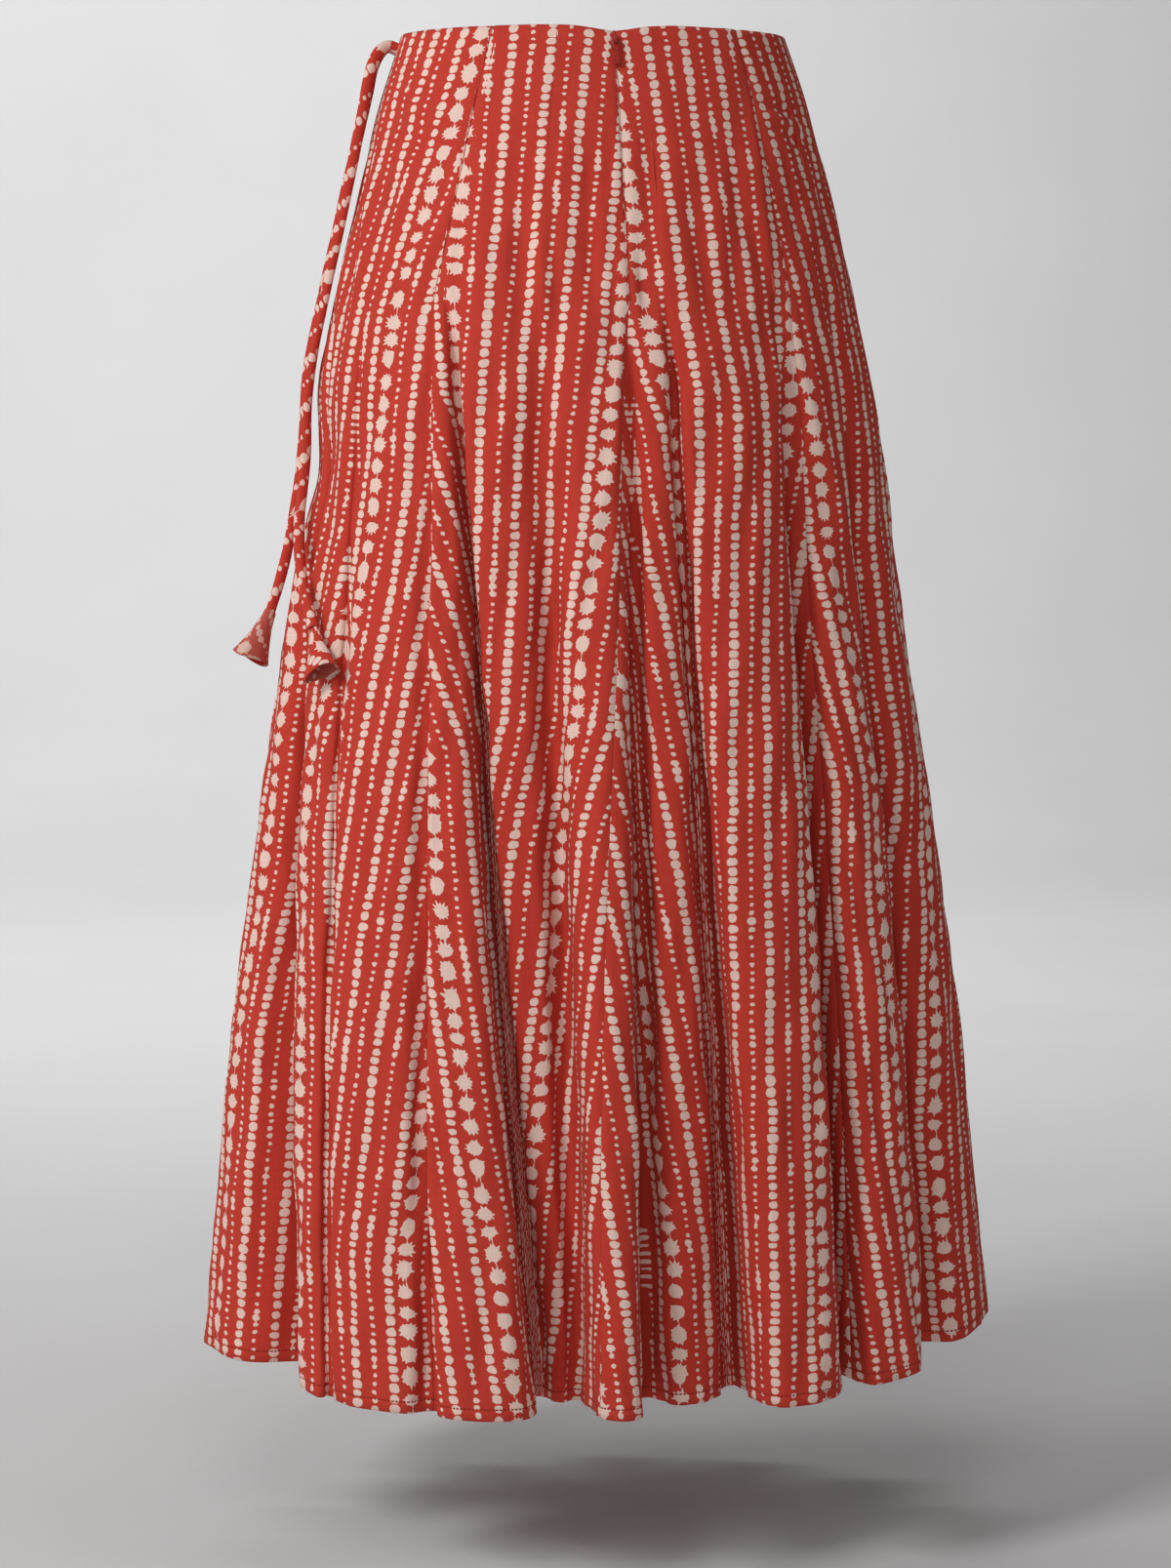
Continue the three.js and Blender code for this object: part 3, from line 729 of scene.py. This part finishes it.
# Creases that show, by gore: across from its middle and down from the waist, length, width, height, lean
# in degrees from upright. Metres; troughs have a negative height.
creaseColumns = ("across", "down", "length", "width", "height", "lean")
creases = {
    "side_back_left_gore": [
        (0.020, 0.060, 0.060, 0.006, 0.0022, 62),
        (0.010, 0.078, 0.055, 0.005, -0.0018, 58),
        (-0.020, 0.150, 0.080, 0.007, 0.0016, 20),
        (0.030, 0.250, 0.120, 0.009, -0.0025, -8),
        (-0.030, 0.420, 0.200, 0.012, 0.0030, 5),
    ],
    "back_left_gore": [
        (-0.004, 0.182, 0.100, 0.009, -0.0036, 10),
        (0.008, 0.172, 0.070, 0.006, 0.0016, 12),
        (0.019, 0.186, 0.060, 0.006, -0.0024, 12),
        (0.041, 0.168, 0.080, 0.006, -0.0022, 8),
        (-0.035, 0.178, 0.120, 0.010, 0.0022, 6),
        (0.026, 0.088, 0.080, 0.008, -0.0008, 22),
    ],
    "back_right_gore": [
        (-0.014, 0.018, 0.024, 0.0026, -0.0011, 88),
        (-0.024, 0.185, 0.110, 0.010, 0.0026, 8),
        (-0.053, 0.178, 0.060, 0.005, -0.0020, 8),
        (-0.039, 0.192, 0.050, 0.005, -0.0012, 6),
        (0.043, 0.172, 0.070, 0.008, -0.0022, 18),
        (0.010, 0.095, 0.070, 0.008, -0.0008, -30),
    ],
    "side_back_right_gore": [
        (-0.030, 0.056, 0.050, 0.0042, -0.0025, 80),
        (-0.027, 0.064, 0.050, 0.0042, 0.0021, 78),
        (-0.025, 0.073, 0.050, 0.0042, -0.0021, 76),
        (0.020, 0.130, 0.080, 0.007, 0.0015, -18),
    ],
    "side_front_right_gore": [
        (0.000, 0.070, 0.060, 0.006, -0.0018, -70),
        (-0.020, 0.130, 0.090, 0.007, 0.0016, 15),
    ],
    "front_right_gore": [
        (0.010, 0.090, 0.080, 0.006, -0.0014, 35),
        (-0.010, 0.140, 0.100, 0.007, 0.0015, -12),
    ],
    "front_left_gore": [
        (-0.012, 0.080, 0.080, 0.006, -0.0015, -30),
        (0.015, 0.150, 0.100, 0.007, 0.0014, 14),
    ],
    "side_front_left_gore": [
        (0.000, 0.065, 0.060, 0.006, -0.0018, 66),
        (0.020, 0.140, 0.090, 0.007, 0.0016, -16),
    ],
}


def creased(name, across, down):
    # height that the creases add at each point
    height = np.zeros_like(across)
    for row in creases[name]:
        c = dict(zip(creaseColumns, row))
        lean = math.radians(c["lean"])
        dx, dy = across - c["across"], down - c["down"]
        beside = dx * math.cos(lean) - dy * math.sin(lean)
        onward = dx * math.sin(lean) + dy * math.cos(lean)
        height += c["height"] * np.exp(-((beside / c["width"]) ** 2) - (onward / (c["length"] / 2)) ** 2)
    return height


# Long low waves that a hanging cloth has: metres across, metres down and height. They fade in below the
# waist edge, where a small share of them is left
waves = ((0.034, 0.31, 0.0008), (0.021, 0.19, 0.00045), (0.05, 0.13, 0.0007), (0.013, 0.11, 0.00025))
waveFade = {"from": 0.02, "over": 0.1, "least": 0.15}


def softUnevenness(seed, across, down):
    # height that the waves add at each point, from a few seeded sines
    chance = np.random.default_rng(seed)
    height = np.zeros_like(across)
    for wave, run, tall in waves:
        for _ in range(2):
            phase, turn = chance.uniform(0, 2 * np.pi, 2)
            lean = chance.uniform(-1, 1)
            ripple = np.sin(2 * np.pi * (across / wave + lean * down / run) + phase)
            height += tall * ripple * np.sin(2 * np.pi * down / run + turn)
    fade = np.clip((down - waveFade["from"]) / waveFade["over"], waveFade["least"], 1)
    return height * fade


def relieved(number, points, across, down, seamDistance):
    # the gore's points with its creases, its waves and the dent along its seams
    free = np.clip(seamDistance / cloth["seamHold"], 0, 1)
    uneven = softUnevenness(number + cloth["firstSeed"], across, down)
    height = (creased(gores[number]["name"], across, down) + uneven) * free
    dented = np.exp(-((seamDistance / cloth["seamDentReach"]) ** cloth["seamDentPower"]))
    height -= cloth["seamDent"] * dented
    return points + outwardOf(points) * height[..., None]


def turnedUp(points, out):
    # the three rows of the hem that is turned up inside: its fold, its lower layer and its raw edge
    gap = cloth["thickness"] + cloth["hemSlack"]
    rows = ((-1, gap * cloth["hemFoldAt"]), (-1, gap), (-3, gap))
    fold, lower, rawEdge = (points[row] - out[row] * inside for row, inside in rows)
    fold = fold + (points[-1] - points[-2]) * cloth["hemFoldBelow"]
    return np.stack([fold, lower, rawEdge])


def gridOrder(bm):
    # the points of a flat new grid row by row, from its upper left corner
    return sorted(bm.verts, key=lambda v: (-round(v.co.y, 6), round(v.co.x, 6)))


def gridMesh(name, grid):
    # a mesh through the grid's points, and for each of its points the place in the grid
    rows, columns = grid.shape[:2]
    bm = bmesh.new()
    bmesh.ops.create_grid(bm, x_segments=columns - 1, y_segments=rows - 1, size=1)
    bm.verts.ensure_lookup_table()
    order = np.zeros(rows * columns, int)
    for i, vertex in enumerate(gridOrder(bm)):
        order[vertex.index] = i
        vertex.co = grid[i // columns, i % columns]
    mesh = bpy.data.meshes.new(name)
    bm.to_mesh(mesh)
    bm.free()
    return mesh, order


def addWall(piece, thickness, offset):
    # gives the sheet its thickness, with the reverse of the print inside
    wall = piece.modifiers.new("wall", "SOLIDIFY")
    wall.thickness = thickness
    wall.offset = offset
    wall.material_offset = 1


def faceOutwards(mesh, grid, out):
    # the sheet's faces look away from the skirt's inside
    mesh.update()
    middle = mesh.polygons[len(mesh.polygons) // 2]
    centre = np.array(middle.center)
    nearest = np.argmin(np.linalg.norm(grid[: out.shape[0]].reshape(-1, 3) - centre, axis=1))
    if middle.normal.dot(Vector(out.reshape(-1, 3)[nearest])) < 0:
        mesh.flip_normals()


def clothPiece(number):
    gore = gores[number]
    points, places = goreGrid(number)
    across, down = runningLength(points, 1), runningLength(points, 0)
    width = across[:, -1:]
    seamDistance = np.minimum(across, width - across)
    across = across - width / 2
    down = np.broadcast_to(down.mean(axis=1, keepdims=True), across.shape)
    shift = printShift(number, places, down[:, 0])
    points = relieved(number, points, across, down, seamDistance)
    out = outwardOf(points)
    hem = turnedUp(points, out)
    grid = np.concatenate([points, hem])

    def withHem(values):
        return np.concatenate([values, np.repeat(values[-1:], len(hem), axis=0)])

    hemDistance = withHem(down[-1:] - down)
    hemDistance[-1] = hemDistance[len(points) - 3]  # the raw edge lies against the third row from the hem
    across, down, shift = withHem(across), withHem(down), withHem(shift)

    mesh, order = gridMesh(gore["name"], grid)
    corners = np.zeros(len(mesh.loops), np.int32)
    mesh.loops.foreach_get("vertex_index", corners)
    onCloth = np.stack([(across + shift).ravel() - gore["star"], down.ravel()], axis=1)[order]
    uv = mesh.uv_layers.new(name="cut")
    uv.data.foreach_set("uv", onCloth[corners].ravel())
    for name, values in (("seamDistance", withHem(seamDistance)), ("hemDistance", hemDistance)):
        attribute = mesh.attributes.new(name, "FLOAT", "POINT")
        attribute.data.foreach_set("value", values.ravel()[order])
    mesh.polygons.foreach_set("use_smooth", [True] * len(mesh.polygons))
    mesh.materials.append(face)
    mesh.materials.append(reverse)
    piece = bpy.data.objects.new(gore["name"] + "_cloth", mesh)
    bpy.context.scene.collection.objects.link(piece)
    faceOutwards(mesh, grid, out)
    addWall(piece, cloth["thickness"], 0)

    hip = cloth["rowsAboveHip"]
    w = width[:, 0]
    cutLength = float(down[len(points) - 1, 0])
    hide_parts(gore["name"])
    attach(piece, "skirt")
    sizes = [round(float(v) * 1000) for v in (w[0], w[hip], w[-1], cutLength)]
    print(gore["name"], "cut", sizes, "mm,", len(mesh.polygons), "faces")


# Ties: bias-cut tubes sewn in the left side seam, each with a flared bell on its end. The routes are the
# CAD ones, and the first point lies in the seam
tie = {
    "diameter": 0.0072,
    "sides": 14,
    "step": 0.003,
    "sewnIn": 0.0022,
    "swells": ((0.05, 0.011), (0.04, 0.023)),  # by how much and over what length it swells
    "pressed": 0.09,
    "twistLength": 0.09,
    "seeds": {"rear": 31, "front": 47},
}
tieRoutes = {
    "rear": [
        (-0.1383, -0.004, -0.009), (-0.1435, -0.0041, -0.0073), (-0.150, -0.007, -0.011),
        (-0.155, -0.009, -0.020), (-0.1585, -0.010, -0.032), (-0.162, -0.011, -0.050),
        (-0.168, -0.011, -0.080), (-0.176, -0.009, -0.120), (-0.184, -0.006, -0.155),
        (-0.191, -0.0045, -0.190), (-0.1975, -0.007, -0.220), (-0.202, -0.011, -0.255),
        (-0.204, -0.015, -0.290), (-0.2065, -0.021, -0.312), (-0.2095, -0.031, -0.335),
        (-0.2105, -0.047, -0.358), (-0.209, -0.064, -0.378), (-0.206, -0.079, -0.395),
        (-0.204, -0.087, -0.406),
    ],
    "front": [
        (-0.13835, 0.006, -0.010), (-0.1436, 0.0063, -0.0083), (-0.1495, 0.005, -0.014),
        (-0.154, 0.004, -0.024), (-0.157, 0.003, -0.038), (-0.163, 0.002, -0.064),
        (-0.172, 0.002, -0.100), (-0.181, 0.004, -0.140), (-0.189, 0.006, -0.178),
        (-0.196, 0.005, -0.208), (-0.2015, 0.003, -0.240), (-0.2045, 0.000, -0.275),
        (-0.2075, -0.003, -0.305), (-0.212, -0.007, -0.330), (-0.216, -0.010, -0.353),
        (-0.222, -0.013, -0.376), (-0.229, -0.015, -0.398),
    ],
}
bell = {
    "length": 0.036,
    "neck": 0.0042,
    "mouth": 0.015,
    "cloth": 0.0009,
    "sides": 40,
    "rings": 22,
    "flatness": 0.62,
    "flarePower": 1.5,
    "neckShare": 0.92,  # shares of the solid's sizes, so that the cloth stays within it
    "mouthShare": 0.965,
    "lengthShare": 0.985,
    "ripples": ((0.05, 3, 1.1), (0.025, 7, 0)),  # height, how many round the mouth, and turn
    "droop": (0.0012, 2, 0.6),
    "closing": 0.15,  # the neck's end, drawn in and pushed up into the tie
    "closingUp": 0.0006,
    "clothRound": 0.06,
    "clothStart": 0.004,
}
bellFacing = {
    "rear": {"down": (0.12, -0.56, -0.82), "flat": (-0.55, -0.8, 0)},
    "front": {"down": (-0.4, -0.1, -0.9), "flat": (-0.6, 0.8, 0)},
}


def smoothRoute(points, step):
    # evenly spaced points on a smooth curve through the route
    p = np.array(points)
    p = np.concatenate([2 * p[:1] - p[1:2], p, 2 * p[-1:] - p[-2:-1]])
    fine = []
    for k in range(1, len(p) - 2):
        gaps = [max(np.linalg.norm(p[k + i] - p[k + i - 1]) ** 0.5, 1e-6) for i in (0, 1, 2)]
        for f in np.linspace(0, 1, 24, endpoint=False):
            fine.append(curveThrough(p[k - 1 : k + 3], gaps, f))
    fine.append(p[-2])
    fine = np.array(fine)
    run = np.concatenate([[0], np.cumsum(np.linalg.norm(np.diff(fine, axis=0), axis=1))])
    count = max(int(round(run[-1] / step)), 2)
    at = np.linspace(0, run[-1], count + 1)
    return np.stack([np.interp(at, run, fine[:, i]) for i in range(3)], axis=1), run[-1]


bias = 0.7071  # sine and cosine of the 45 degrees at which the ties' cloth is cut


def tubeMesh(name, rings, across, along):
    # a grid wrapped round into a tube, with its place on the cloth turned to the bias
    count, sides = rings.shape[:2]
    bm = bmesh.new()
    bmesh.ops.create_grid(bm, x_segments=sides, y_segments=count - 1, size=1)
    uv = bm.loops.layers.uv.new("cut")
    where = {v: (i // (sides + 1), i % (sides + 1)) for i, v in enumerate(gridOrder(bm))}
    for f in bm.faces:
        f.smooth = True
        for loop in f.loops:
            row, side = where[loop.vert]
            u, v = across * side / sides, along[row]
            loop[uv].uv = ((u - v) * bias, (u + v) * bias)
    for vertex, (row, side) in where.items():
        vertex.co = rings[row, side % sides]
    bmesh.ops.remove_doubles(bm, verts=bm.verts, dist=1e-6)
    bmesh.ops.recalc_face_normals(bm, faces=bm.faces)
    mesh = bpy.data.meshes.new(name)
    bm.to_mesh(mesh)
    bm.free()
    for attributeName in ("seamDistance", "hemDistance"):
        attribute = mesh.attributes.new(attributeName, "FLOAT", "POINT")
        attribute.data.foreach_set("value", [1.0] * len(mesh.vertices))
    return mesh


def ringsAlong(path, radiusAt):
    # circles square to the path, turned with it without twisting
    heading = np.gradient(path, axis=0)
    heading /= np.linalg.norm(heading, axis=1, keepdims=True)
    side = np.cross(heading[0], (0, 0, 1.0))
    angles = np.linspace(0, 2 * np.pi, tie["sides"], endpoint=False)
    rings = []
    for i, (point, ahead) in enumerate(zip(path, heading)):
        side = side - ahead * np.dot(side, ahead)
        side /= np.linalg.norm(side)
        up = np.cross(ahead, side)
        r = radiusAt(i, angles)[:, None]
        rings.append(point + r * (np.cos(angles)[:, None] * side + np.sin(angles)[:, None] * up))
    return np.array(rings)


def buildBell(which, end):
    turned = bellFacing[which]
    up = -np.array(turned["down"]) / np.linalg.norm(turned["down"])
    across = np.cross(turned["flat"], up)
    across /= np.linalg.norm(across)
    flat = np.cross(up, across)
    angles = np.linspace(0, 2 * np.pi, bell["sides"], endpoint=False)
    droopDepth, droops, droopTurn = bell["droop"]
    rings, along = [], []
    for i in range(bell["rings"] + 1):
        f = i / bell["rings"]
        flare = f ** bell["flarePower"]
        radius = blendOf(bell["neck"] * bell["neckShare"], bell["mouth"] * bell["mouthShare"], flare)
        ripple = 1
        for height, count, turn in bell["ripples"]:
            ripple = ripple + height * flare * np.sin(count * angles + turn)
        wide = np.cos(angles) * radius * ripple
        thin = np.sin(angles) * radius * ripple * bell["flatness"]
        droop = droopDepth * flare * np.sin(droops * angles + droopTurn)
        below = f * bell["length"] * bell["lengthShare"] + droop
        rings.append(end + wide[:, None] * across + thin[:, None] * flat - below[:, None] * up)
        along.append(f * bell["length"] + bell["clothStart"])
    cap = end + (np.array(rings[0]) - end) * bell["closing"] + up * bell["closingUp"]
    grid = np.concatenate([cap[None], np.array(rings)])
    mesh = tubeMesh("tie bell", grid, bell["clothRound"], [0.0] + along)
    mesh.materials.append(face)
    mesh.materials.append(reverse)
    piece = bpy.data.objects.new(f"tie_bell_{which}_cloth", mesh)
    bpy.context.scene.collection.objects.link(piece)
    addWall(piece, bell["cloth"], -1)
    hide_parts(f"tie_bell_{which}")
    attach(piece, "skirt")
    return piece


def buildTie(which):
    route = [Vector(p) for p in tieRoutes[which]]
    sewn = route[0] + (route[0] - route[1]).normalized() * tie["sewnIn"]
    path, length = smoothRoute([tuple(sewn)] + [tuple(p) for p in route], tie["step"])
    chance = np.random.default_rng(tie["seeds"][which])
    phases = chance.uniform(0, 6.28, 4)

    def radiusAt(i, angles):
        run = i * tie["step"]
        plump = 1
        for (swell, reach), phase in zip(tie["swells"], phases):
            plump = plump + swell * math.sin(run / reach + phase)
        pressed = 1 + tie["pressed"] * np.cos(2 * (angles - run / tie["twistLength"] - phases[2]))
        return tie["diameter"] / 2 * plump * pressed

    rings = ringsAlong(path, radiusAt)
    along = [i * tie["step"] for i in range(len(path))]
    mesh = tubeMesh("tie", rings, math.pi * tie["diameter"], along)
    mesh.materials.append(face)
    piece = bpy.data.objects.new(f"tie_{which}_cloth", mesh)
    bpy.context.scene.collection.objects.link(piece)
    end = buildBell(which, path[-1])
    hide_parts(f"tie_{which}")
    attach(piece, "skirt")
    print("tie", which, "length", round(float(length) * 1000), "mm")


buildTie("rear")
buildTie("front")
print("ties made")

for number in range(len(gores)):
    clothPiece(number)
print("gores made")


# Zip: the slider and the pull are the CAD ones, enamelled. The teeth and the tape lie hidden behind the
# closed seam and aren't built
def dressZip():
    for name in ("zip_slider", "zip_pull"):
        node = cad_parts[name]
        node.data.materials.clear()
        node.data.materials.append(enamel)


dressZip()
print("zip dressed")

# Studio: a pale seamless floor and backdrop, and soft lamps of which the key stands to the left
studio = {
    "floor": -1.055,
    "inFront": 6,
    "backdropBehind": 5.4,
    "bend": 1.6,
    "width": 18,
    "height": 5,
    "segments": 60,
    "paperDark": "#D2D1D1",
    "paperLight": "#D8D8D8",
    "air": "#DDE0E6",
    "airStrength": 0.07,
}


def buildStudio():
    material, tree, surface = newMaterial("studio paper, matt")
    place = put(tree, "TexCoord")
    grain = noiseAt(tree, place.outputs["Object"], 3.0, 2.0)
    tone = put(tree, "ValToRGB", None, grain)
    tone.color_ramp.elements[0].color = linearColour(studio["paperDark"])
    tone.color_ramp.elements[1].color = linearColour(studio["paperLight"])
    feed(tree, surface.inputs["Base Color"], tone)
    surface.inputs["Roughness"].default_value = 0.9
    bm = bmesh.new()
    bmesh.ops.create_grid(bm, x_segments=2, y_segments=studio["segments"], size=1)
    run = studio["backdropBehind"] + studio["inFront"] + studio["height"]
    bendStart = studio["backdropBehind"] - studio["bend"]
    quarter = studio["bend"] * math.pi / 2
    for vertex in bm.verts:
        along = (vertex.co.y + 1) / 2 * run - studio["inFront"]
        if along < bendStart:
            y, z = along, 0
        elif along < bendStart + quarter:
            a = (along - bendStart) / studio["bend"]
            y, z = bendStart + studio["bend"] * math.sin(a), studio["bend"] * (1 - math.cos(a))
        else:
            y, z = studio["backdropBehind"], studio["bend"] + along - bendStart - quarter
        vertex.co = (vertex.co.x * studio["width"] / 2, y, z + studio["floor"])
    mesh = bpy.data.meshes.new("studio paper")
    for f in bm.faces:
        f.smooth = True
    bm.to_mesh(mesh)
    bm.free()
    mesh.materials.append(material)
    paper = bpy.data.objects.new("studio_paper", mesh)
    bpy.context.scene.collection.objects.link(paper)


skirtMiddle = (0, 0, -0.45)
lampColumns = ("name", "around", "height", "away", "size", "watts", "aim")
lamps = [
    ("key", -52, 1.5, 3.2, 0.9, 68, skirtMiddle),
    ("side", -95, 1.0, 2.8, 1.5, 23, skirtMiddle),
    ("front", -12, 1.9, 3.4, 1.6, 33, skirtMiddle),
    ("low front", -8, 0.2, 3.6, 1.6, 5, skirtMiddle),
    ("right", 55, 0.9, 3.2, 1.8, 13, skirtMiddle),
    ("backdrop", 190, 2.4, 2.2, 1.8, 132, (0.5, 5.4, -0.1)),
]


def buildLights():
    for row in lamps:
        lamp = dict(zip(lampColumns, row))
        data = bpy.data.lights.new(lamp["name"], "AREA")
        data.size = lamp["size"]
        data.energy = lamp["watts"]
        obj = bpy.data.objects.new(lamp["name"], data)
        around = math.radians(lamp["around"])
        obj.location = (lamp["away"] * math.sin(around), -lamp["away"] * math.cos(around), lamp["height"])
        aim = Vector(lamp["aim"]) - obj.location
        obj.rotation_euler = aim.to_track_quat("-Z", "Y").to_euler()
        bpy.context.scene.collection.objects.link(obj)
    bpy.context.scene.view_settings.view_transform = "Standard"
    world = bpy.data.worlds.new("studio air")
    bpy.context.scene.world = world
    world.use_nodes = True
    background = world.node_tree.nodes["Background"]
    background.inputs["Color"].default_value = linearColour(studio["air"])
    background.inputs["Strength"].default_value = studio["airStrength"]


buildStudio()
buildLights()
print("studio lit")
